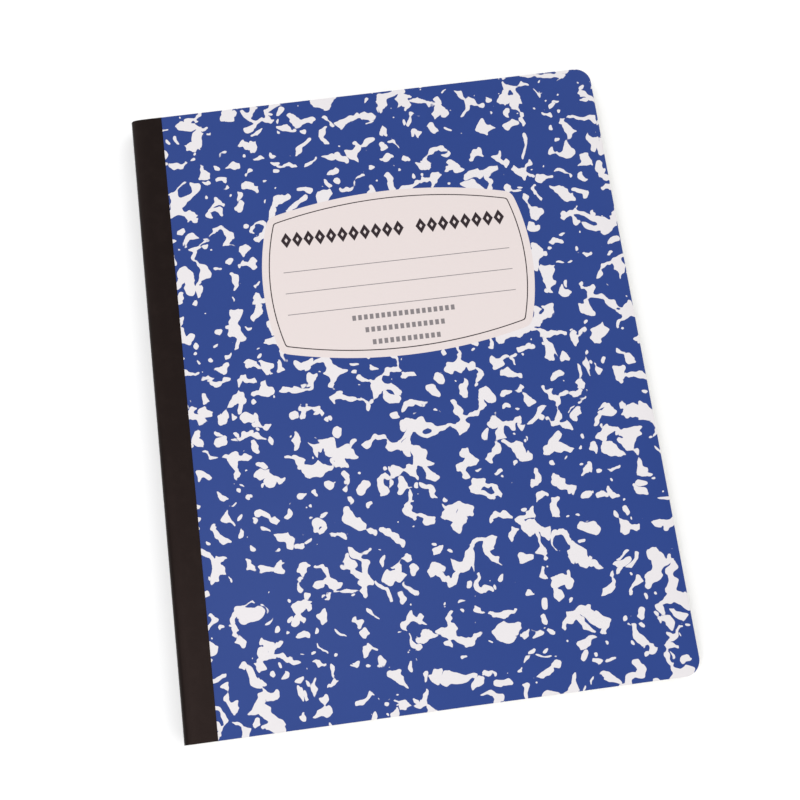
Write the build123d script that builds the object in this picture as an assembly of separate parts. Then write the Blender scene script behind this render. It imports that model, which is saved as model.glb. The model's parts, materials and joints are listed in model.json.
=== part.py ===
from build123d import *
import os

# A sewn, tape-bound composition notebook that lies on its back cover.
# The origin is the centre of its underside. +X runs from the spine to the fore edge, +Y from
# the tail to the head, and +Z from the back cover to the front cover. Sizes are millimetres.

# Covers and pages, trimmed together
cover_width = 190.5  # spine face to fore edge
cover_height = 247.65  # tail to head
corner_radius = 6.35  # fore-edge corners of the boards and of the pages
board_thickness = 1.0
leaf_count = 100
leaf_thickness = 0.08

# Binding tape, one strip folded round the spine
tape_thickness = 0.2
tape_reach = 12.7  # spine face to the edge of each flap
tape_bend_radius = 2.4  # outer radius where the tape turns onto a board
board_gap = 0.2  # from the end of that bend to the board's spine edge

# Fold of the page block
block_fold_radius = 2.6  # rounding of the outermost folded sheet
gutter_length = 5.0  # from the innermost sheet's fold to where the middle pages meet

# Lockstitch through the fold
thread_diameter = 0.4
thread_clearance = 0.05  # between the two threads, and between thread and tape
hole_clearance = 0.1  # between thread and the paper round it
stitch_pitch = 6.0
stitch_margin = 9.0  # least distance from the head or the tail to a stitch

# Worked out from the sizes above
block_thickness = leaf_count * leaf_thickness
total_thickness = block_thickness + 2 * board_thickness
middle_z = total_thickness / 2
board_edge = tape_bend_radius + board_gap
thread_radius = thread_diameter / 2
loop_radius = thread_diameter + thread_clearance
hole_radius = loop_radius + thread_radius + hole_clearance
gutter_radius = hole_radius  # the innermost sheet folds round the loops
run_depth = tape_thickness + thread_clearance + thread_radius
valley_depth = run_depth + thread_radius + hole_clearance
valley_width = thread_diameter + 2 * hole_clearance
gutter_depth = tape_thickness + block_thickness / 2
stitch_gaps = int((cover_height - 2 * stitch_margin) // stitch_pitch)
stitched_length = stitch_gaps * stitch_pitch

# The cross-section: local x is the depth from the spine face, local y is the height
section = Plane(origin=(-cover_width / 2, 0, 0), x_dir=(1, 0, 0), z_dir=(0, -1, 0))


def section_point(depth, height):
    """A point of the cross-section halfway between tail and head."""
    return section.from_local_coords((depth, height, 0))


def box_outline(left, bottom, right, top):
    """A rectangle of the cross-section, given by its sides."""
    return Pos((left + right) / 2, (bottom + top) / 2) * Rectangle(right - left, top - bottom)


def folded_outline(left, bottom, right, top, radius):
    """The same rectangle with its two corners at the spine rounded."""
    outline = box_outline(left, bottom, right, top)
    return fillet(outline.vertices().group_by(Axis.X)[0], radius)


def full_height(outline):
    """The cross-section's outline, drawn out from the tail to the head."""
    return extrude(section * outline, amount=cover_height / 2, both=True)


def trimmed(solid):
    """The solid with its two fore-edge corners rounded, as the trimmed notebook has them."""
    corners = solid.edges().filter_by(Axis.Z).group_by(Axis.X)[-1]
    return fillet(corners, corner_radius)


def make_cover(outer_z, inward):
    """A cover board, pressed in by the tape's thickness where the tape lies on it."""
    inner_z = outer_z + inward * board_thickness
    press_z = outer_z + inward * tape_thickness
    board = box_outline(board_edge, min(outer_z, inner_z), cover_width, max(outer_z, inner_z))
    press = box_outline(board_edge, min(outer_z, press_z), tape_reach, max(outer_z, press_z))
    return trimmed(full_height(board - press))


def make_tape():
    """The strip of tape: a flap on each board, two bends and the flat of the spine."""
    outside = folded_outline(0, 0, tape_reach, total_thickness, tape_bend_radius)
    top = total_thickness - tape_thickness
    inner_radius = tape_bend_radius - tape_thickness
    inside = folded_outline(tape_thickness, tape_thickness, tape_reach, top, inner_radius)
    return full_height(outside - inside)


def stitch_positions():
    """Where the stitch holes lie along the spine."""
    return [index * stitch_pitch - stitched_length / 2 for index in range(stitch_gaps + 1)]


def make_pages():
    """The folded sheets as one block, with the gutter of the middle fold and the stitch holes."""
    top = total_thickness - board_thickness
    sheets = folded_outline(tape_thickness, board_thickness, cover_width, top, block_fold_radius)

    half_valley = valley_width / 2
    valley = box_outline(tape_thickness, middle_z - half_valley, valley_depth, middle_z + half_valley)

    innermost_fold = Pos(gutter_depth, middle_z) * Circle(gutter_radius)
    upper_page = (gutter_depth, middle_z + gutter_radius)
    lower_page = (gutter_depth, middle_z - gutter_radius)
    meeting_point = (gutter_depth + gutter_length, middle_z)
    gutter = innermost_fold + make_face(Polyline(lower_page, meeting_point, upper_page, close=True))

    block = trimmed(full_height(sheets - valley - gutter))
    hole = Cylinder(hole_radius, gutter_depth - tape_thickness, rotation=(0, 90, 0))
    hole_middle = section_point((gutter_depth + tape_thickness) / 2, middle_z)
    return block - [Pos(hole_middle) * Pos(0, y, 0) * hole for y in stitch_positions()]


def strand_face(depth, height):
    """A thread's round section at a point of the cross-section, square to X."""
    plane = Plane(origin=section_point(depth, height), x_dir=(0, 1, 0), z_dir=(1, 0, 0))
    return plane * Circle(thread_radius)


def make_bend(depth, turn):
    """Half a turn of thread about Y, from the upper strand to the lower one."""
    axis = Axis(section_point(depth, middle_z), (0, 1, 0))
    return revolve(strand_face(depth, middle_z + loop_radius), axis, turn)


def make_loop():
    """One loop of needle thread round the bobbin thread, halfway between tail and head."""
    outer_depth = run_depth + loop_radius
    leg_length = gutter_depth - outer_depth
    lower_leg = extrude(strand_face(outer_depth, middle_z - loop_radius), amount=leg_length)
    upper_leg = extrude(strand_face(outer_depth, middle_z + loop_radius), amount=leg_length)
    return lower_leg + [upper_leg, make_bend(gutter_depth, 180), make_bend(outer_depth, -180)]


def make_thread_run(depth):
    """A straight thread along the spine, from the first stitch to the last."""
    plane = Plane(origin=section_point(depth, middle_z), x_dir=(1, 0, 0), z_dir=(0, 1, 0))
    half_length = stitched_length / 2 + loop_radius
    return extrude(plane * Circle(thread_radius), amount=half_length, both=True)


def make_needle_thread():
    """The outer thread: a run in the valley of the fold, with a loop down every hole."""
    loop = make_loop()
    return make_thread_run(run_depth) + [Pos(0, y, 0) * loop for y in stitch_positions()]


pieces = {
    "front_cover": make_cover(total_thickness, -1),
    "back_cover": make_cover(0, 1),
    "spine_tape": make_tape(),
    "page_block": make_pages(),
    "needle_thread": make_needle_thread(),
    "bobbin_thread": make_thread_run(gutter_depth),
}

os.makedirs("parts", exist_ok=True)
for name, piece in pieces.items():
    export_step(piece, os.path.join("parts", name + ".step"))

# Each cover turns about the line over its spine edge, in the plane of the tape's outer face
hinge = section_point(board_edge, total_thickness)
print("front cover hinge at x", round(hinge.X, 3), "z", round(hinge.Z, 3))
print("back cover hinge at x", round(hinge.X, 3), "z", 0)
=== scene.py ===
"""The looks of a sewn, tape-bound composition notebook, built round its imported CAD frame."""

import json
import logging
import math
import random
from dataclasses import dataclass, field
from enum import Enum
from typing import Any, Mapping, Sequence, Union

import bmesh
import bpy
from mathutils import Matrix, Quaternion, Vector
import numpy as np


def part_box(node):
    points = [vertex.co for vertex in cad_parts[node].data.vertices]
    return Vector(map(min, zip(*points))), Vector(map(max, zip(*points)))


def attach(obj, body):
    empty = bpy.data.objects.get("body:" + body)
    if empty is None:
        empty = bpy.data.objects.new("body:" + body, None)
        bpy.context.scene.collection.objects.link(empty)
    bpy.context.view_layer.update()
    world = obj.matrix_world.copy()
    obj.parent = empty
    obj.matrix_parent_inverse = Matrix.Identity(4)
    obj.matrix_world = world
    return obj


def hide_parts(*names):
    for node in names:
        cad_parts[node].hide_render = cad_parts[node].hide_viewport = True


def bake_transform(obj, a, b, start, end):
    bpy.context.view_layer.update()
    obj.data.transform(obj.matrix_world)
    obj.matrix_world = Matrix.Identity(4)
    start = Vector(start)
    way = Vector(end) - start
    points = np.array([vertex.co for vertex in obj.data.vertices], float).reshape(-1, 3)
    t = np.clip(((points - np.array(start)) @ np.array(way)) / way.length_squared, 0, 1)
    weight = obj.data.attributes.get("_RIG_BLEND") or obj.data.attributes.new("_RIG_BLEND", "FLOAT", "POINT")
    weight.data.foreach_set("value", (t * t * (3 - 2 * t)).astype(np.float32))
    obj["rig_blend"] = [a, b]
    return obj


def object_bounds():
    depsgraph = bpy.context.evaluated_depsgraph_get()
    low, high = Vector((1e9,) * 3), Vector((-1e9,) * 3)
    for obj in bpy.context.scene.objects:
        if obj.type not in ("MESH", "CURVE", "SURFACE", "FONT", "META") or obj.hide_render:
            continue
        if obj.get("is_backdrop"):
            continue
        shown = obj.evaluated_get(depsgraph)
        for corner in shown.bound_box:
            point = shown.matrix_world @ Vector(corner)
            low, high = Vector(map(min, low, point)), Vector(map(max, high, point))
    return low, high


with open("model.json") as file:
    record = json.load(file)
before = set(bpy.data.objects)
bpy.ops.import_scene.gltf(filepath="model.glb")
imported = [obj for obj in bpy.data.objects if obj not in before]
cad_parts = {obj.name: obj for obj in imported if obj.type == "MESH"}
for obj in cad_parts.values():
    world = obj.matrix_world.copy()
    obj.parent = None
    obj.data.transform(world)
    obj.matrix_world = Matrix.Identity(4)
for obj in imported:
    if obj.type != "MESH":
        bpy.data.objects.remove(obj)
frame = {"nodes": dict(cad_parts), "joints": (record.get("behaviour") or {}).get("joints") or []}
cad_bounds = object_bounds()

log = logging.getLogger("notebook")

MM = 0.001
PER_METRE = 1000.0
Number = Union["Wire", float, int]
Point = tuple[float, float]
Triple = tuple[float, float, float]
Profile = list[Point]
Colour = tuple[float, float, float, float]

SPINE_X = cad_bounds[0].x
TAIL_Y = cad_bounds[0].y
HEAD_Y = cad_bounds[1].y
FORE_X = cad_bounds[1].x
CORNER_RADIUS = 6.35 * MM


class Face(Enum):
    """The two outsides of the notebook."""

    FRONT = "front"
    BACK = "back"


class Body(Enum):
    """The rigid bodies of the frame that pieces ride on."""

    BLOCK = "book_block"
    FRONT_BOARD = "front_board"
    BACK_BOARD = "back_board"


def ink(red: int, green: int, blue: int) -> Colour:
    """A colour given as 0 to 255 display values, as the linear values that shaders use.

    Args:
        red: Display value of red.
        green: Display value of green.
        blue: Display value of blue.

    Returns:
        The linear colour with an alpha of 1.
    """

    def linear(level: int) -> float:
        """One channel, from display to linear."""
        share = level / 255
        return share / 12.92 if share <= 0.04045 else ((share + 0.055) / 1.055) ** 2.4

    return linear(red), linear(green), linear(blue), 1.0


def darker(colour: Colour, share: float) -> Colour:
    """A colour with its light cut to a share of what it was."""
    red, green, blue, alpha = colour
    return red * share, green * share, blue * share, alpha


class Wire:
    """A shader socket that Python's operators work on.

    Numbers go through Math nodes and vectors through Vector Math, so `1 - mask` adds a node.
    """

    def __init__(self, graph: "Graph", socket: bpy.types.NodeSocket) -> None:
        """Wraps a node's output socket.

        Args:
            graph: The material's graph that the socket belongs to.
            socket: The output socket.
        """
        self.graph = graph
        self.socket = socket

    def _with(self, operation: str, *values: Any) -> "Wire":
        """A maths node on values, one of which is this wire."""
        return self.graph.maths(operation, *values)

    def __add__(self, other: Any) -> "Wire":
        """This plus another."""
        return self._with("ADD", self, other)

    def __radd__(self, other: Any) -> "Wire":
        """Another plus this."""
        return self._with("ADD", other, self)

    def __sub__(self, other: Any) -> "Wire":
        """This less another."""
        return self._with("SUBTRACT", self, other)

    def __rsub__(self, other: Any) -> "Wire":
        """Another less this."""
        return self._with("SUBTRACT", other, self)

    def __mul__(self, other: Any) -> "Wire":
        """This times another."""
        return self._with("MULTIPLY", self, other)

    def __truediv__(self, other: Any) -> "Wire":
        """This divided by another."""
        return self._with("DIVIDE", self, other)

    def __abs__(self) -> "Wire":
        """The size of this, without its sign."""
        return self._with("ABSOLUTE", self)

    def least(self, other: Number) -> "Wire":
        """The smaller of this and another."""
        return self._with("MINIMUM", self, other)

    def most(self, other: Number) -> "Wire":
        """The larger of this and another."""
        return self._with("MAXIMUM", self, other)

    def rounded_most(self, other: Number, blend: float) -> "Wire":
        """The larger of this and another, with the change between them rounded off."""
        return self._with("SMOOTH_MAX", self, other, blend)

    def whole(self) -> "Wire":
        """This rounded down to a whole number."""
        return self._with("FLOOR", self)

    def fraction(self) -> "Wire":
        """What is left of this over a whole number."""
        return self._with("FRACT", self)

    def sine(self) -> "Wire":
        """The sine of this, in radians."""
        return self._with("SINE", self)

    def length(self) -> "Wire":
        """The length of a vector."""
        return self._with("LENGTH", self)

    def over(self, level: Number, softness: float) -> "Wire":
        """A mask that is 1 where this is over a level and 0 where it is under.

        Args:
            level: Where the mask is half.
            softness: How much this changes across the mask's edge.

        Returns:
            The mask, between 0 and 1.
        """
        return ((self - level) / softness + 0.5).most(0.0).least(1.0)

    def under(self, level: Number, softness: float) -> "Wire":
        """A mask that is 1 where this is under a level, with the same softness."""
        return 1 - self.over(level, softness)

    def parts(self) -> tuple["Wire", "Wire", "Wire"]:
        """The three components of a vector."""
        split = self.graph.node("ShaderNodeSeparateXYZ", inputs={"Vector": self})
        return tuple(Wire(self.graph, split.outputs[axis]) for axis in "XYZ")


class Graph:
    """The node tree of one material, round a single Principled shader."""

    MIX_FACTOR, MIX_FIRST, MIX_SECOND, MIX_RESULT = 0, 6, 7, 2

    def __init__(self, name: str, **constants: Any) -> None:
        """Makes the material.

        Args:
            name: The material's name.
            **constants: Values of the shader's own sockets, with _ for a space.
        """
        self.material = bpy.data.materials.new(name)
        self.material.use_nodes = True
        self.tree = self.material.node_tree
        self.tree.nodes.clear()
        self.surface = self.node("ShaderNodeBsdfPrincipled")
        for socket, value in constants.items():
            self.surface.inputs[socket.replace("_", " ")].default_value = value
        output = self.node("ShaderNodeOutputMaterial")
        self.tree.links.new(self.surface.outputs["BSDF"], output.inputs["Surface"])

    def node(
        self,
        kind: str,
        settings: Mapping[str, Any] | None = None,
        inputs: Mapping[str | int, Any] | None = None,
    ) -> bpy.types.Node:
        """Adds a node.

        Args:
            kind: The node's type.
            settings: Its properties, which are set first.
            inputs: Values or wires for its sockets, by name or index.

        Returns:
            The node.
        """
        made = self.tree.nodes.new(kind)
        for name, value in (settings or {}).items():
            setattr(made, name, value)
        for key, value in (inputs or {}).items():
            self.feed(made.inputs[key], value)
        return made

    def feed(self, socket: bpy.types.NodeSocket, value: Any) -> None:
        """Links a wire to a socket, or sets the socket to a value.

        Args:
            socket: The socket to feed.
            value: A wire, a number, or one number a component.
        """
        if isinstance(value, Wire):
            self.tree.links.new(value.socket, socket)
        elif socket.type == "VECTOR" and not hasattr(value, "__len__"):
            socket.default_value = (value, value, value)
        else:
            socket.default_value = value

    def maths(self, operation: str, *values: Any) -> Wire:
        """A Math node, or Vector Math where a value is a vector.

        Args:
            operation: The node's operation.
            *values: Wires, numbers or vectors.

        Returns:
            The node's result.
        """
        is_vector = any(isinstance(v, Wire) and v.socket.type == "VECTOR" for v in values)
        kind = "ShaderNodeVectorMath" if is_vector else "ShaderNodeMath"
        made = self.node(kind, {"operation": operation}, dict(enumerate(values)))
        return Wire(self, made.outputs["Value" if operation == "LENGTH" else 0])

    def mix(self, factor: Wire, first: Any, second: Any) -> Wire:
        """A colour between two others.

        Args:
            factor: 0 for the first colour and 1 for the second.
            first: A colour or a wire.
            second: A colour or a wire.

        Returns:
            The mixed colour.
        """
        feeds = {self.MIX_FACTOR: factor, self.MIX_FIRST: first, self.MIX_SECOND: second}
        made = self.node("ShaderNodeMix", {"data_type": "RGBA"}, feeds)
        return Wire(self, made.outputs[self.MIX_RESULT])

    def place(self, origin: Vector = Vector()) -> Wire:
        """Where the surface lies in the row frame, in millimetres from an origin in metres."""
        coordinates = self.node("ShaderNodeTexCoord")
        return (Wire(self, coordinates.outputs["Object"]) - origin) * PER_METRE

    def vector(self, x: Number, y: Number, z: Number) -> Wire:
        """A vector put together from three numbers."""
        made = self.node("ShaderNodeCombineXYZ", inputs={"X": x, "Y": y, "Z": z})
        return Wire(self, made.outputs["Vector"])

    def noise(self, place: Wire, size: float, detail: float = 2.0, roughness: float = 0.5) -> Wire:
        """Smooth noise between 0 and 1.

        Args:
            place: Where to read it, in millimetres.
            size: Millimetres from one lump to the next.
            detail: How many finer layers it has.
            roughness: How strong the finer layers are.

        Returns:
            The noise, as a number.
        """
        return Wire(self, self._noise_node(place, size, detail, roughness).outputs["Fac"])

    def drift(self, place: Wire, size: float, reach: float) -> Wire:
        """A place shifted about by noise, to bend what is drawn on it.

        Args:
            place: The place to shift, in millimetres.
            size: Millimetres from one shift to the next.
            reach: How far it is shifted at most, in millimetres.

        Returns:
            The shifted place.
        """
        shifts = Wire(self, self._noise_node(place, size, 1.0, 0.5).outputs["Color"])
        centred = self.maths("SUBTRACT", self.as_vector(shifts), 0.5)
        return place + centred * (2 * reach)

    def as_vector(self, colour: Wire) -> Wire:
        """A colour's channels as a vector."""
        split = self.node("ShaderNodeSeparateColor", inputs={"Color": colour})
        return self.vector(*(Wire(self, split.outputs[index]) for index in range(3)))

    def _noise_node(self, place: Wire, size: float, detail: float, roughness: float) -> bpy.types.Node:
        """A Noise Texture node."""
        feeds = {"Vector": place, "Scale": 1 / size, "Detail": detail, "Roughness": roughness}
        return self.node("ShaderNodeTexNoise", inputs=feeds)

    def cells(self, place: Wire, size: float) -> tuple[Wire, Wire]:
        """Scattered cells.

        Args:
            place: Where to read them, in millimetres.
            size: Millimetres from one cell to the next.

        Returns:
            The distance to a cell's centre in millimetres, and a random number a cell.
        """
        made = self.node("ShaderNodeTexVoronoi", inputs={"Vector": place, "Scale": 1 / size})
        chance = self.as_vector(Wire(self, made.outputs["Color"])).parts()[0]
        return Wire(self, made.outputs["Distance"]) * size, chance

    def bump(self, height: Wire, depth: float) -> None:
        """Gives the surface a fine relief.

        Args:
            height: The relief, from 0 to 1.
            depth: Its full height in metres.
        """
        made = self.node("ShaderNodeBump", inputs={"Height": height, "Distance": depth})
        self.show(Normal=Wire(self, made.outputs["Normal"]))

    def show(self, **wires: Wire) -> bpy.types.Material:
        """Links wires to the shader's sockets.

        Args:
            **wires: Wires by socket name, with _ for a space.

        Returns:
            The material.
        """
        for socket, wire in wires.items():
            self.feed(self.surface.inputs[socket.replace("_", " ")], wire)
        return self.material


@dataclass(frozen=True)
class Marbling:
    """White strands, pools and specks left open in a field of ink. Sizes are millimetres.

    Swirl, curl and ripple are drifts, each its size and its reach.
    """

    swirl: Point = (18.0, 4.0)
    curl: Point = (4.4, 1.9)
    ripple: Point = (1.6, 0.32)
    strand_size: float = 11.4
    strand_detail: float = 0.6
    strand_level: float = 0.46
    strand_edge: float = 0.0004
    width_offset: Triple = (50.0, 20.0, 7.0)
    width_size: float = 4.4
    width_detail: float = 0.5
    width_level: float = 0.482
    width_gain: float = 0.028
    pool_offset: Triple = (11.0, 5.0, 70.0)
    pool_size: float = 8.5
    pool_detail: float = 0.5
    pool_level: float = 0.675
    pool_edge: float = 0.005
    speck_offset: Triple = (3.0, 70.0, 9.0)
    speck_size: float = 4.6
    speck_radius: float = 1.15
    speck_share: float = 0.5
    speck_edge: float = 0.08

    def openings(self, graph: Graph, place: Wire) -> Wire:
        """Where the ink is open and the white board shows.

        Args:
            graph: The material's graph.
            place: The place on the board, in millimetres.

        Returns:
            A mask that is 1 on the strands, pools and specks.
        """
        bent = graph.drift(graph.drift(place, *self.swirl), *self.curl)
        fine = graph.drift(bent, *self.ripple)

        ridge = abs(graph.noise(fine, self.strand_size, self.strand_detail) - self.strand_level)
        swelling = graph.noise(bent + self.width_offset, self.width_size, self.width_detail)
        swelling = swelling - self.width_level
        strands = (swelling * self.width_gain - ridge * ridge).over(0.0, self.strand_edge)
        pools = graph.noise(fine + self.pool_offset, self.pool_size, self.pool_detail)
        pools = pools.over(self.pool_level, self.pool_edge)

        centres, chance = graph.cells(bent + self.speck_offset, self.speck_size)
        radius = (chance - self.speck_share) * (self.speck_radius / (1 - self.speck_share))
        specks = (radius - centres).over(0.0, self.speck_edge)
        return strands.most(pools).most(specks)


@dataclass(frozen=True)
class Label:
    """The blank name area printed on the front, measured in millimetres from spine and tail.

    A note row is its height over the centre and its count of dashes.
    """

    centre: Point = (100.4, 169.1)
    tilt: float = math.radians(-0.6)
    half_width: float = 47.2
    half_height: float = 25.7
    side_bulge: float = 3.8
    top_bulge: float = 5.9
    outline_blend: float = 1.2
    border_blend: float = 3.6
    side_border: float = 2.9
    top_border: float = 3.1
    outline_width: float = 0.42
    print_edge: float = 0.05
    rule_heights: tuple[float, ...] = (4.6, -4.25, -13.1)
    rule_half_length: float = 45.3
    rule_width: float = 0.3
    heading_height: float = 18.1
    heading_half_height: float = 3.3
    heading_half_length: float = 45.2
    heading_count: int = 20
    heading_gap: int = 11
    heading_line: float = 1.25
    heading_fill: float = 0.47
    note_rows: tuple[tuple[float, int], ...] = ((-17.4, 18), (-22.7, 14), (-27.9, 12))
    note_pitch: float = 2.3
    note_size: Point = (1.45, 2.1)

    def _bulges(self, across: Wire, along: Wire, graph: Graph) -> tuple[Wire, Wire]:
        """How far a place lies outside the side arcs and outside the top and bottom arcs.

        Args:
            across: Distance from the label's centre across the cover.
            along: Distance from the label's centre towards head or tail.
            graph: The material's graph.

        Returns:
            The two distances in millimetres, below 0 inside.
        """

        def beyond(out: Wire, aside: Wire, half: float, half_chord: float, bulge: float) -> Wire:
            """Distance outside an arc with its ends at half and its middle a bulge further out."""
            radius = half_chord**2 / (2 * bulge) + bulge / 2
            return graph.vector(out - (half + bulge - radius), aside, 0.0).length() - radius

        sides = beyond(across, along, self.half_width, self.half_height, self.side_bulge)
        ends = beyond(along, across, self.half_height, self.half_width, self.top_bulge)
        return sides, ends

    def draw(self, graph: Graph, place: Wire) -> tuple[Wire, Wire, Wire]:
        """The label's masks.

        Args:
            graph: The material's graph.
            place: The place on the cover, in millimetres from spine and tail.

        Returns:
            Masks of the white area, of the dark ink and of the grey ink.
        """
        x, y, _ = place.parts()
        from_centre_x, from_centre_y = x - self.centre[0], y - self.centre[1]
        cosine, sine = math.cos(self.tilt), math.sin(self.tilt)
        offset_x = from_centre_x * cosine + from_centre_y * sine
        offset_y = from_centre_y * cosine - from_centre_x * sine
        across, along = abs(offset_x), abs(offset_y)
        sides, ends = self._bulges(across, along, graph)
        outline = abs(sides.rounded_most(ends, self.outline_blend))
        border = (sides - self.side_border).rounded_most(ends - self.top_border, self.border_blend)

        sharp = self.print_edge
        area = border.under(0.0, sharp)
        frame_line = outline.under(self.outline_width / 2, sharp)
        heading = self._heading(offset_x, offset_y)
        within = across.under(self.rule_half_length, sharp)
        nearest = abs(offset_y - self.rule_heights[0])
        for height in self.rule_heights[1:]:
            nearest = nearest.least(abs(offset_y - height))
        grey = nearest.under(self.rule_width / 2, sharp) * within
        for height, count in self.note_rows:
            grey = grey.most(self._note(offset_x, offset_y - height, count * self.note_pitch / 2))
        return area, frame_line.most(heading), grey

    def _heading(self, x: Wire, y: Wire) -> Wire:
        """A row of hollow lozenges where a title would be, with one left out as between two words.

        Args:
            x: Distance across from the label's centre.
            y: Distance from the label's centre towards the head.

        Returns:
            The lozenges' mask.
        """
        pitch = 2 * self.heading_half_length / self.heading_count
        half_width = self.heading_fill * pitch
        step = (x + self.heading_half_length) / pitch
        across = abs(step.fraction() - 0.5) * (pitch / half_width)
        lozenge = across + abs(y - self.heading_height) / self.heading_half_height
        wall = self.heading_line * math.hypot(1 / half_width, 1 / self.heading_half_height)
        ring = abs(lozenge - (1 - wall / 2)).under(wall / 2, self.print_edge)
        is_gap = abs(step.whole() - self.heading_gap).under(0.5, 0.1)
        return ring * (1 - is_gap) * abs(x).under(self.heading_half_length, self.print_edge)

    def _note(self, x: Wire, y: Wire, half_length: float) -> Wire:
        """A row of small dashes where a line of small print would be.

        Args:
            x: Distance across from the label's centre.
            y: Distance from the row's middle.
            half_length: Half the row's length.

        Returns:
            The dashes' mask.
        """
        dash = abs(((x + half_length) / self.note_pitch).fraction() - 0.5)
        dashes = dash.under(self.note_size[0] / self.note_pitch / 2, self.print_edge)
        row = abs(y).under(self.note_size[1] / 2, self.print_edge)
        return dashes * row * abs(x).under(half_length, self.print_edge)


@dataclass(frozen=True)
class CoverFinish:
    """Coated, printed paperboard: ink outside, a pale pulp core at the cut edges, plain inside."""

    face: Face
    marbling: Marbling = Marbling()
    label: Label = Label()
    field_ink: Colour = ink(40, 65, 134)
    board_white: Colour = ink(220, 216, 218)
    label_white: Colour = ink(218, 207, 205)
    dark_ink: Colour = ink(44, 34, 38)
    grey_ink: Colour = ink(128, 122, 124)
    core: Colour = ink(206, 200, 190)
    lining: Colour = ink(228, 224, 216)
    print_depth: float = 0.02
    cut_softness: float = 0.01
    back_offset: float = 300.0
    cloud_size: float = 28.0
    grain_size: float = 0.5
    ply_size: float = 1.1
    pulp_size: float = 1.6
    fibre_size: float = 0.35
    buckle_size: float = 3.0
    relief_depth: float = 0.012 * MM

    def build(self, outer_z: float, inner_z: float) -> bpy.types.Material:
        """Makes the board's material.

        Args:
            outer_z: Height of the printed face, in metres.
            inner_z: Height of the face against the pages, in metres.

        Returns:
            The material.
        """
        graph = Graph(f"{self.face.value}_print", Specular_IOR_Level=0.16)
        place = graph.place(Vector((SPINE_X, TAIL_Y, 0.0)))
        x, y, height = place.parts()
        flat_place = graph.vector(x, y, 0.0 if self.face is Face.FRONT else self.back_offset)

        depth = (outer_z * PER_METRE - height) * math.copysign(1.0, outer_z - inner_z)
        is_print = depth.under(self.print_depth, self.cut_softness)
        lining_depth = abs(outer_z - inner_z) * PER_METRE - self.print_depth
        is_lining = depth.over(lining_depth, self.cut_softness)
        plies = graph.noise(graph.vector(x * 0.6, y * 0.6, height * 9.0), self.ply_size, 3.0, 0.7)
        core = graph.mix(plies, self.core, darker(self.core, 0.7))
        pulp = graph.noise(flat_place, self.pulp_size, 4.0, 0.65)
        lining = graph.mix(pulp * 0.25, self.lining, self.core)
        colour = graph.mix(is_print, core, self._print(graph, flat_place))
        colour = graph.mix(is_lining, colour, lining)

        fibres = graph.noise(place, self.fibre_size, 3.0, 0.6)
        graph.bump(fibres * 0.4 + graph.noise(place, self.buckle_size) * 0.6, self.relief_depth)
        return graph.show(Base_Color=colour, Roughness=0.85 - is_print * (0.42 - fibres * 0.1))

    def _print(self, graph: Graph, place: Wire) -> Wire:
        """The printed face: a mottled field of ink, its open marbling, and the front's label.

        Args:
            graph: The material's graph.
            place: The place on the face, in millimetres from spine and tail.

        Returns:
            The print's colour.
        """
        clouds = graph.noise(place, self.cloud_size, 3.0)
        mottle = clouds * 0.35 + graph.noise(place, self.grain_size) * 0.15
        field_colour = graph.mix(mottle, self.field_ink, darker(self.field_ink, 0.72))
        colour = graph.mix(self.marbling.openings(graph, place), field_colour, self.board_white)
        if self.face is Face.BACK:
            return colour
        area, dark, grey = self.label.draw(graph, place)
        colour = graph.mix(area, colour, self.label_white)
        colour = graph.mix(grey * area, colour, self.grey_ink)
        return graph.mix(dark * area, colour, self.dark_ink)


@dataclass(frozen=True)
class TapeFinish:
    """Black binding tape: coated cloth with a fine woven grain, matte and slightly warm."""

    black: Colour = ink(14, 9, 8)
    worn: Colour = ink(32, 25, 23)
    sheen: Colour = (1.0, 0.7, 0.64, 1.0)
    thread_pitch: float = 0.42
    grain_size: float = 0.22
    rub_size: float = 6.0
    relief_depth: float = 0.022 * MM

    def build(self) -> bpy.types.Material:
        """Makes the tape's material.

        Returns:
            The material.
        """
        graph = Graph("binding_tape", Specular_IOR_Level=0.14, Specular_Tint=self.sheen)
        place = graph.place()
        x, y, height = graph.drift(place, 2.2, 0.05).parts()
        around = x - height
        turn = 2 * math.pi / self.thread_pitch
        weave = (around * turn).sine() * (y * turn).sine()
        grain = graph.noise(place, self.grain_size, 3.0, 0.6)
        relief = weave * 0.2 + grain * 0.5 + graph.noise(place, 1.8) * 0.3 + 0.2
        graph.bump(relief, self.relief_depth)
        rub = graph.noise(place, self.rub_size, 4.0, 0.65).over(0.62, 0.3) * 0.35 + grain * 0.15
        colour = graph.mix(rub, self.black, self.worn)
        return graph.show(Base_Color=colour, Roughness=0.36 + grain * 0.12)


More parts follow.
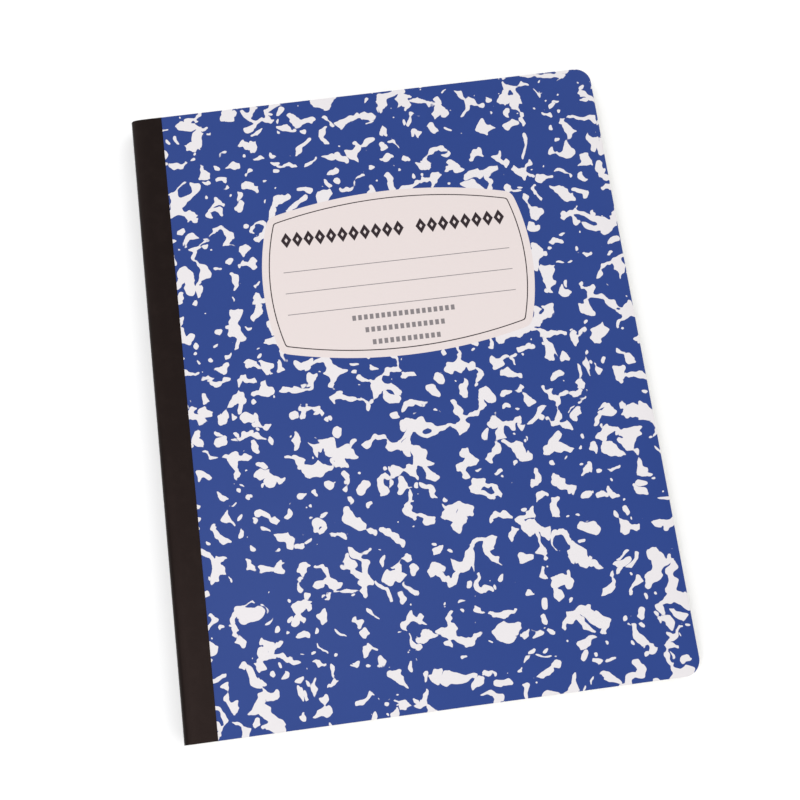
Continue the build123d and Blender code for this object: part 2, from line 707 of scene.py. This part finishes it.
@dataclass(frozen=True)
class PaperFinish:
    """White writing paper: ruled on the two leaves that a cover uncovers, and cut at the edges."""

    paper: Colour = ink(223, 222, 216)
    fibre: Colour = ink(200, 198, 190)
    # The edge white is a painted highlight: paler than the page face, it stands in for light falling on the
    # trimmed page edges.
    lit_edge_white: Colour = ink(240, 239, 233)
    shaded: Colour = ink(205, 202, 192)
    line_ink: Colour = ink(112, 152, 204)
    margin_ink: Colour = ink(212, 106, 120)
    line_pitch: float = 7.1
    line_width: float = 0.34
    head_space: float = 27.0
    tail_space: float = 9.0
    margin: float = 31.8
    leaf_pitch: float = 0.08
    ink_edge: float = 0.06
    relief_depth: float = 0.01 * MM

    def build(self, low_z: float, high_z: float) -> bpy.types.Material:
        """Makes the pages' material.

        Args:
            low_z: Height of the last page, in metres.
            high_z: Height of the first page, in metres.

        Returns:
            The material.
        """
        graph = Graph("writing_paper", Specular_IOR_Level=0.2, Roughness=0.9)
        place = graph.place(Vector((SPINE_X, TAIL_Y, 0.0)))
        x, y, height = place.parts()
        page_height = (HEAD_Y - TAIL_Y) * PER_METRE
        from_head = page_height - self.head_space - y
        steps = from_head / self.line_pitch
        near_line = abs((steps + 0.5).fraction() - 0.5) * self.line_pitch
        last_line = page_height - self.head_space - self.tail_space
        on_ruling = from_head.over(-0.5, 0.1) * from_head.under(last_line, 0.1)
        lines = near_line.under(self.line_width / 2, self.ink_edge) * on_ruling
        margin_line = abs(x - self.margin).under(self.line_width / 2, self.ink_edge)

        middle = (low_z + high_z) / 2 * PER_METRE
        half = (high_z - low_z) / 2 * PER_METRE
        is_page = abs(height - middle).over(half - 0.01, 0.005)
        leaf = (height / self.leaf_pitch).whole()
        shade = graph.noise(graph.vector(x * 0.02, y * 0.02, leaf * 7.3), 1.0, 0.0)
        wave = graph.noise(graph.vector(x * 0.3, y * 0.3, leaf * 3.1), 6.0)
        # Painted light and shade on the page edges: each leaf's edge lies between the painted lit white and
        # the painted shaded colour, picked by noise.
        edge = graph.mix(shade * 0.55 + wave * 0.35, self.lit_edge_white, self.shaded)
        ticks = near_line.under(self.line_width, 0.3) * on_ruling * 0.25
        edge = graph.mix(ticks, edge, self.line_ink)
        fibres = graph.noise(place, 0.9, 5.0, 0.7)
        page = graph.mix(fibres * 0.3, self.paper, self.fibre)
        page = graph.mix(lines * 0.85, page, self.line_ink)
        page = graph.mix(margin_line * 0.8, page, self.margin_ink)
        graph.bump(graph.noise(place, 0.25, 4.0, 0.7), self.relief_depth)
        return graph.show(Base_Color=graph.mix(is_page, edge, page))


@dataclass(frozen=True)
class ThreadFinish:
    """Twisted white sewing thread."""

    light: Colour = ink(238, 236, 228)
    dark: Colour = ink(176, 172, 160)
    twist_pitch: float = 0.7
    fuzz_size: float = 0.12
    relief_depth: float = 0.05 * MM

    def build(self) -> bpy.types.Material:
        """Makes the thread's material.

        Returns:
            The material.
        """
        graph = Graph("sewing_thread", Specular_IOR_Level=0.3, Roughness=0.8)
        place = graph.place()
        x, y, height = place.parts()
        turn = 2 * math.pi / self.twist_pitch
        twist = ((y + x + height * 2) * turn).sine() * 0.5 + 0.5
        fuzz = graph.noise(place, self.fuzz_size, 3.0, 0.7)
        graph.bump(twist * 0.7 + fuzz * 0.3, self.relief_depth)
        return graph.show(Base_Color=graph.mix(twist * 0.6 + fuzz * 0.3, self.light, self.dark))


@dataclass(frozen=True)
class TableFinish:
    """The plain pale table top."""

    white: Colour = (0.98, 0.98, 0.982, 1.0)
    shade: Colour = (0.965, 0.965, 0.968, 1.0)
    cloud_size: float = 300.0

    def build(self) -> bpy.types.Material:
        """Makes the table's material.

        Returns:
            The material.
        """
        graph = Graph("table", Specular_IOR_Level=0.1, Roughness=0.9)
        cloud = graph.noise(graph.place(), self.cloud_size, 1.0)
        return graph.show(Base_Color=graph.mix(cloud, self.white, self.shade))


def half_height_at(x: float) -> float:
    """Half the trimmed height, which shrinks round the fore-edge corners.

    Args:
        x: Where it is measured, in the frame.

    Returns:
        The distance from the notebook's middle to its head or tail edge.
    """
    half = (HEAD_Y - TAIL_Y) / 2
    into_corner = x - (FORE_X - CORNER_RADIUS)
    if into_corner <= 0:
        return half
    into_corner = min(into_corner, CORNER_RADIUS)
    return half - CORNER_RADIUS + math.sqrt(CORNER_RADIUS**2 - into_corner**2)


def corner_stations(steps: int) -> list[float]:
    """Distances across at which the round fore-edge corners are cut.

    Args:
        steps: How many cuts make a corner.

    Returns:
        The distances, from the corner's start to the fore edge.
    """
    angles = [index / steps * math.pi / 2 for index in range(steps + 1)]
    return [FORE_X - CORNER_RADIUS + CORNER_RADIUS * math.sin(angle) for angle in angles]


@dataclass(frozen=True)
class Shoulder:
    """How the tape and the board under it fall away towards the spine before the tape's bend."""

    slope: float
    reach: float = 5.6 * MM
    bend_radius: float = 2.4 * MM

    @classmethod
    def of(cls, face: Face) -> "Shoulder":
        """The shoulder of the front, or of the back, which the table presses flat."""
        return cls(math.radians(9) if face is Face.FRONT else 0.0)

    @property
    def bend_end(self) -> float:
        """Distance from the spine's face at which the bend meets the shoulder."""
        return self.bend_radius * (1 - math.sin(self.slope))

    def fall(self, depth: float) -> float:
        """How far the surface has fallen at a distance from the spine's face."""
        inside = max(0.0, self.reach - max(depth, self.bend_end))
        return math.tan(self.slope) * inside**2 / (2 * (self.reach - self.bend_end))


class Solid:
    """A mesh under construction, and the finished piece it becomes."""

    WELD = 1e-7
    SHARP_ANGLE = math.radians(40)

    def __init__(self, name: str) -> None:
        """Starts an empty mesh.

        Args:
            name: The piece's name.
        """
        self.name = name
        self.mesh = bmesh.new()

    def ring(self, points: Sequence[Vector]) -> list[bmesh.types.BMVert]:
        """Adds a ring of points.

        Args:
            points: The ring's points in order.

        Returns:
            The new vertices.
        """
        return [self.mesh.verts.new(point) for point in points]

    def skin(self, rings: Sequence[Sequence[bmesh.types.BMVert]]) -> None:
        """Joins rings of the same length into a closed skin with flat ends.

        Args:
            rings: The rings in order.
        """
        for before, after in zip(rings, rings[1:]):
            count = len(before)
            for index in range(count):
                other = (index + 1) % count
                self.mesh.faces.new((before[index], before[other], after[other], after[index]))
        self.mesh.faces.new(list(reversed(rings[0])))
        self.mesh.faces.new(list(rings[-1]))

    def finish(
        self, material: bpy.types.Material, smooth_angle: float = 35.0, bevel: float = 0.0
    ) -> bpy.types.Object:
        """Cleans the mesh and puts the piece in the scene.

        Args:
            material: The piece's material.
            smooth_angle: Edges flatter than this many degrees are shaded smooth.
            bevel: Width that sharp edges are rounded by, in metres.

        Returns:
            The piece.
        """
        bmesh.ops.remove_doubles(self.mesh, verts=self.mesh.verts, dist=self.WELD)
        bmesh.ops.dissolve_degenerate(self.mesh, dist=self.WELD, edges=self.mesh.edges)
        bmesh.ops.recalc_face_normals(self.mesh, faces=self.mesh.faces)
        if bevel:
            self._round_edges(bevel)
        data = bpy.data.meshes.new(self.name)
        self.mesh.to_mesh(data)
        self.mesh.free()
        data.materials.append(material)
        data.shade_smooth()
        data.set_sharp_from_angle(angle=math.radians(smooth_angle))
        piece = bpy.data.objects.new(self.name, data)
        bpy.context.scene.collection.objects.link(piece)
        return piece

    def _round_edges(self, width: float) -> None:
        """Rounds the sharp edges.

        Args:
            width: How far from an edge its rounding starts, in metres.
        """
        sharp = [edge for edge in self.mesh.edges if edge.calc_face_angle(0.0) > self.SHARP_ANGLE]
        shape = {"segments": 3, "profile": 0.5, "affect": "EDGES", "clamp_overlap": True}
        bmesh.ops.bevel(self.mesh, geom=sharp, offset=width, **shape)


@dataclass
class CoverBoard:
    """A cover board, pressed in under the tape, with softly rounded cut edges."""

    face: Face
    node: str
    body: Body
    tape_edge: float
    tape_press: float
    edge_rounding: float = 0.14 * MM
    shoulder_steps: int = 4
    corner_steps: int = 16

    def build(self) -> bpy.types.Object:
        """Builds the board from the places of its CAD node.

        Returns:
            The board, riding on its body.
        """
        low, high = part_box(self.node)
        outer_z, inner_z = (high.z, low.z) if self.face is Face.FRONT else (low.z, high.z)
        inward = math.copysign(1.0, inner_z - outer_z)
        solid = Solid(f"{self.face.value}_cover_board")
        shoulder = Shoulder.of(self.face)
        steps = range(self.shoulder_steps + 1)
        reach = SPINE_X + shoulder.reach - low.x
        taped = [low.x + reach * step / self.shoulder_steps for step in steps] + [self.tape_edge]
        sections = []
        for x in taped:
            sections.append((x, outer_z + inward * (self.tape_press + shoulder.fall(x - SPINE_X))))
        sections += [(self.tape_edge, outer_z)]
        sections += [(x, outer_z) for x in corner_stations(self.corner_steps)]
        rings = []
        for x, outer in sections:
            half = half_height_at(x)
            corners = ((-half, inner_z), (half, inner_z), (half, outer), (-half, outer))
            rings.append(solid.ring([Vector((x, y, z)) for y, z in corners]))
        solid.skin(rings)
        finish = CoverFinish(self.face).build(outer_z, inner_z)
        board = solid.finish(finish, bevel=self.edge_rounding)
        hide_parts(self.node)
        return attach(board, self.body.value)


@dataclass
class SpineTape:
    """The binding tape, in two halves that meet along the middle of the spine.

    The flap stations are millimetres from the spine's face.
    """

    node: str = "spine_tape"
    thickness: float = 0.2 * MM
    proud: float = 0.04 * MM
    bend_steps: int = 10
    flap_stations: tuple[float, ...] = (2.4, 2.7, 3.0, 3.3, 3.7, 4.2, 4.9, 5.6, 9.0)
    step_length: float = 1.0 * MM
    stitch_pitch: float = 6.0 * MM
    stitched_share: float = 0.92
    stitch_rise: float = 0.07 * MM
    stitch_reach: float = 0.9 * MM
    hinge_play: float = 0.5 * MM

    def build(self) -> list[bpy.types.Object]:
        """Builds both halves.

        Returns:
            The front half and the back half, each blended across its cover's hinge.
        """
        low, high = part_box(self.node)
        middle = (low.z + high.z) / 2
        material = TapeFinish().build()
        hinges = {joint["child"]: Vector(joint["pos_m"]) for joint in frame["joints"]}
        halves = []
        for face, body, level in (
            (Face.FRONT, Body.FRONT_BOARD, high.z + self.proud),
            (Face.BACK, Body.BACK_BOARD, low.z),
        ):
            shoulder = Shoulder.of(face)
            outside = self._path(shoulder, middle, level, high.x, 0.0)
            inside = self._path(shoulder, middle, level, high.x, self.thickness)
            solid = Solid(f"tape_{face.value}_half")
            count = round((HEAD_Y - TAIL_Y) / self.step_length)
            rings = []
            for index in range(count + 1):
                y = TAIL_Y + (HEAD_Y - TAIL_Y) * index / count
                outer = [self._lifted(x, y, z, middle) for x, z in outside]
                inner = [Vector((x, y, z)) for x, z in reversed(inside)]
                rings.append(solid.ring(outer + inner))
            solid.skin(rings)
            half = solid.finish(material, smooth_angle=50.0)
            hinge = hinges[body.value]
            start = hinge - Vector((self.hinge_play, 0, 0))
            end = hinge + Vector((self.hinge_play, 0, 0))
            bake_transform(half, Body.BLOCK.value, body.value, start=start, end=end)
            halves.append(half)
        for half in halves:
            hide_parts(self.node)
        return halves

    def _path(
        self, shoulder: Shoulder, middle: float, level: float, edge_x: float, depth: float
    ) -> Profile:
        """One face of the tape's section, from the middle of the spine to the flap's edge.

        Args:
            shoulder: How this side falls away towards the spine.
            middle: Height of the spine's middle.
            level: Height of the flap's outer face.
            edge_x: Where the flap ends.
            depth: How far under the outer face this face lies.

        Returns:
            The section's points.
        """
        side = math.copysign(1.0, level - middle)
        radius = shoulder.bend_radius - depth
        turn = math.pi / 2 - shoulder.slope
        fallen = shoulder.fall(shoulder.bend_end) + shoulder.bend_radius * math.sin(turn)
        centre = (SPINE_X + shoulder.bend_radius, level - side * fallen)
        face_x = SPINE_X + depth
        heights = (middle, middle + side * self.stitch_reach / 2, (middle + centre[1]) / 2)
        path = [(face_x, height) for height in heights]
        for index in range(self.bend_steps + 1):
            angle = index / self.bend_steps * turn
            rise = side * radius * math.sin(angle)
            path.append((centre[0] - radius * math.cos(angle), centre[1] + rise))
        for station in self.flap_stations:
            inwards = station * MM
            path.append((SPINE_X + inwards, level - side * (depth + shoulder.fall(inwards))))
        path.append((edge_x, level - side * depth))
        return path

    def _lifted(self, x: float, y: float, z: float, middle: float) -> Vector:
        """A point of the tape's outer face, raised a little where it lies on a stitch.

        Args:
            x: Where the point lies across.
            y: Where it lies along the spine.
            z: Its height.
            middle: Height of the spine's middle.

        Returns:
            The raised point.
        """
        across = max(0.0, 1 - abs(z - middle) / self.stitch_reach)
        is_sewn = abs(y) < self.stitched_share * HEAD_Y
        along = 0.5 - 0.5 * math.cos(2 * math.pi * y / self.stitch_pitch) if is_sewn else 0.0
        return Vector((x - self.stitch_rise * across * along, y, z))


@dataclass
class PageBlock:
    """The folded sheets, each its own thin shell, nested round the gutter of the middle fold.

    The gutter stations are shares of the gutter's length.
    """

    node: str = "page_block"
    sheet_count: int = 50
    gutter_radius: float = 0.75 * MM
    gutter_length: float = 5.0 * MM
    outer_rounding: float = 0.65
    gutter_stations: tuple[float, ...] = (1.5, 1.0, 0.66, 0.33)
    leaf_gap: float = 0.006 * MM
    trim_drift: float = 0.02 * MM
    drift_kept: float = 0.8
    trim_scatter: float = 0.03 * MM
    fold_steps: int = 6
    corner_steps: int = 9
    seed: int = 7
    low: Vector = field(init=False)
    high: Vector = field(init=False)
    middle: float = field(init=False)
    half: float = field(init=False)
    fold_centre: float = field(init=False)

    def __post_init__(self) -> None:
        """Reads the block's place and thickness from its CAD node."""
        self.low, self.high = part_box(self.node)
        self.middle = (self.low.z + self.high.z) / 2
        self.half = (self.high.z - self.low.z) / 2
        self.fold_centre = self.low.x + self.half

    def build(self) -> bpy.types.Object:
        """Builds the sheets as one piece.

        Returns:
            The pages, riding on the block's body.
        """
        dice = random.Random(self.seed)
        solid = Solid("pages")
        drift = 0.0
        for index in range(self.sheet_count):
            drift = self.drift_kept * drift + dice.uniform(-1, 1) * self.trim_drift
            trims = [self._trim(dice, drift) for _ in range(4)]
            outer = self.half - index * self.half / self.sheet_count - self.leaf_gap / 2
            inner = self.half - (index + 1) * self.half / self.sheet_count + self.leaf_gap / 2
            self._sheet(solid, outer, inner, trims)
        finish = PaperFinish().build(self.low.z, self.high.z)
        pages = solid.finish(finish, smooth_angle=25.0)
        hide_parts(self.node)
        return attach(pages, Body.BLOCK.value)

    def _trim(self, dice: random.Random, drift: float) -> float:
        """How far inside the trimmed shape one edge of a leaf ends."""
        return abs(drift + dice.uniform(-1, 1) * self.trim_scatter)

    def _gutter(self, x: float) -> float:
        """Half the height of the gap in the middle of the block at a distance across."""
        beyond = (x - self.fold_centre) / self.gutter_length
        return self.gutter_radius * max(0.0, 1.0 - max(0.0, beyond))

    def _level(self, depth: float, x: float) -> float:
        """Distance from the block's middle to a face that lies at a depth, at a distance across."""
        gap = self._gutter(x)
        return gap + depth * (self.half - gap) / self.half

    def _face(self, depth: float, fore_trims: Point) -> Profile:
        """One face of a folded sheet, from the upper leaf's fore edge round to the lower leaf's.

        Args:
            depth: The face's distance from the middle of the block, before the gutter.
            fore_trims: How far the upper and the lower leaf end inside the fore edge.

        Returns:
            The face's points as distance across and height.
        """
        flat = list(reversed(corner_stations(self.corner_steps)))
        flat += [self.fold_centre + self.gutter_length * share for share in self.gutter_stations]
        reach = self._level(depth, self.fold_centre)
        share = self.outer_rounding + (1 - self.outer_rounding) * (1 - depth / self.half)
        radius = reach * share
        centre_x = self.fold_centre - reach + radius
        bend = [(self.fold_centre, reach)]
        for index in range(self.fold_steps + 1):
            angle = index / self.fold_steps * math.pi / 2
            rise = reach - radius + radius * math.cos(angle)
            bend.append((centre_x - radius * math.sin(angle), rise))
        upper = [(min(x, FORE_X - fore_trims[0]), self.middle + self._level(depth, x)) for x in flat]
        upper += [(x, self.middle + rise) for x, rise in bend]
        lower = [(min(x, FORE_X - fore_trims[1]), self.middle - self._level(depth, x)) for x in flat]
        lower += [(x, self.middle - rise) for x, rise in bend]
        return upper + list(reversed(lower))

    def _sheet(self, solid: Solid, outer: float, inner: float, trims: Sequence[float]) -> None:
        """Adds one folded sheet.

        Args:
            solid: The mesh to add it to.
            outer: The outer face's distance from the middle of the block.
            inner: The inner face's distance.
            trims: How far the upper leaf, the lower leaf, the head and the tail end inside.
        """
        outside = self._face(outer, (trims[0], trims[1]))
        inside = self._face(inner, (trims[0], trims[1]))
        rings = []
        for (out_x, out_z), (in_x, in_z) in zip(outside, inside):
            tail = -half_height_at(out_x) + trims[3]
            head = half_height_at(out_x) - trims[2]
            outer_side = [Vector((out_x, tail, out_z)), Vector((out_x, head, out_z))]
            inner_side = [Vector((in_x, head, in_z)), Vector((in_x, tail, in_z))]
            rings.append(solid.ring(outer_side + inner_side))
        solid.skin(rings)


@dataclass
class Stitching:
    """The two threads of the lockstitch, which keep their CAD shapes."""

    nodes: tuple[str, ...] = ("needle_thread", "bobbin_thread")

    def dress(self) -> list[bpy.types.Object]:
        """Gives both threads their material.

        Returns:
            The threads.
        """
        material = ThreadFinish().build()
        threads = [frame["nodes"][node] for node in self.nodes]
        for thread in threads:
            thread.data.materials.clear()
            thread.data.materials.append(material)
        return threads


@dataclass(frozen=True)
class SoftLight:
    """A round soft light that points at the middle of the table. Lengths are metres."""

    azimuth: float
    power: float
    reach: float = 1.7
    height: float = 1.0
    size: float = 1.3

    def build(self, name: str) -> None:
        """Hangs the light.

        Args:
            name: The light's name.
        """
        angle = math.radians(self.azimuth)
        place = Vector((math.cos(angle) * self.reach, math.sin(angle) * self.reach, self.height))
        data = bpy.data.lights.new(name, "AREA")
        data.shape = "DISK"
        data.size = self.size
        data.energy = self.power
        light = bpy.data.objects.new(name, data)
        light.location = place
        light.rotation_mode = "QUATERNION"
        light.rotation_quaternion = (-place).to_track_quat("-Z", "Y")
        bpy.context.scene.collection.objects.link(light)


@dataclass
class Studio:
    """A pale table, soft lights on all sides, and the camera above. Angles are degrees."""

    table_size: float = 30.0
    table_gap: float = 0.05 * MM
    lights: tuple[SoftLight, ...] = (
        SoftLight(azimuth=45, power=5.5),
        SoftLight(azimuth=135, power=5.5),
        SoftLight(azimuth=225, power=7.5),
        SoftLight(azimuth=315, power=5.5),
        SoftLight(azimuth=200, power=4.6, reach=0.5, height=1.36, size=0.45),
    )
    sky_strength: float = 0.7
    aim_shift: Point = (-1.06 * MM, -7.02 * MM)
    camera_distance: float = 438.17 * MM
    camera_azimuth: float = -9.3683
    camera_elevation: float = 76.5899
    camera_roll: float = -1.8809
    focal_length: float = 50.995

    def build(self) -> None:
        """Puts up the table, the lights, the sky and the camera."""
        self._table()
        self._lights()
        self._camera()
        view = bpy.context.scene.view_settings
        view.view_transform = "Standard"
        view.look = "None"

    def _table(self) -> None:
        """A flat table top that the notebook lies on."""
        half = self.table_size / 2
        data = bpy.data.meshes.new("table")
        corners = [(-half, -half), (half, -half), (half, half), (-half, half)]
        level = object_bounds()[0].z - self.table_gap
        data.from_pydata([(x, y, level) for x, y in corners], [], [(0, 1, 2, 3)])
        data.materials.append(TableFinish().build())
        table = bpy.data.objects.new("table", data)
        bpy.context.scene.collection.objects.link(table)
        table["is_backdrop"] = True

    def _lights(self) -> None:
        """Large soft lights round the table, a small one overhead, and an even sky."""
        for index, light in enumerate(self.lights):
            light.build(f"soft_light_{index}")
        world = bpy.data.worlds.new("sky")
        world.use_nodes = True
        sky = world.node_tree.nodes["Background"]
        sky.inputs["Strength"].default_value = self.sky_strength
        sky.inputs["Color"].default_value = (1, 1, 1, 1)
        bpy.context.scene.world = world

    def _camera(self) -> None:
        """The camera, which looks down at the front cover."""
        azimuth = math.radians(self.camera_azimuth)
        elevation = math.radians(self.camera_elevation)
        across = math.cos(elevation)
        forward = Vector((-math.sin(azimuth) * across, math.cos(azimuth) * across, -math.sin(elevation)))
        aim = Vector((*self.aim_shift, cad_bounds[1].z))
        data = bpy.data.cameras.new("camera")
        data.lens = self.focal_length
        data.clip_start = 0.01
        camera = bpy.data.objects.new("camera", data)
        camera.location = aim - forward * self.camera_distance
        camera.rotation_mode = "QUATERNION"
        level = forward.to_track_quat("-Z", "Y")
        camera.rotation_quaternion = Quaternion(forward, math.radians(self.camera_roll)) @ level
        bpy.context.scene.collection.objects.link(camera)
        bpy.context.scene.camera = camera


def main() -> None:
    """Builds the notebook's pieces and the studio in order."""
    logging.basicConfig(level=logging.INFO, format="%(name)s: %(message)s")
    tape_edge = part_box("spine_tape")[1].x
    press = SpineTape.thickness
    CoverBoard(Face.FRONT, "front_cover", Body.FRONT_BOARD, tape_edge, press).build()
    CoverBoard(Face.BACK, "back_cover", Body.BACK_BOARD, tape_edge, press).build()
    SpineTape().build()
    PageBlock().build()
    Stitching().dress()
    Studio().build()


if __name__ == "__main__":
    main()
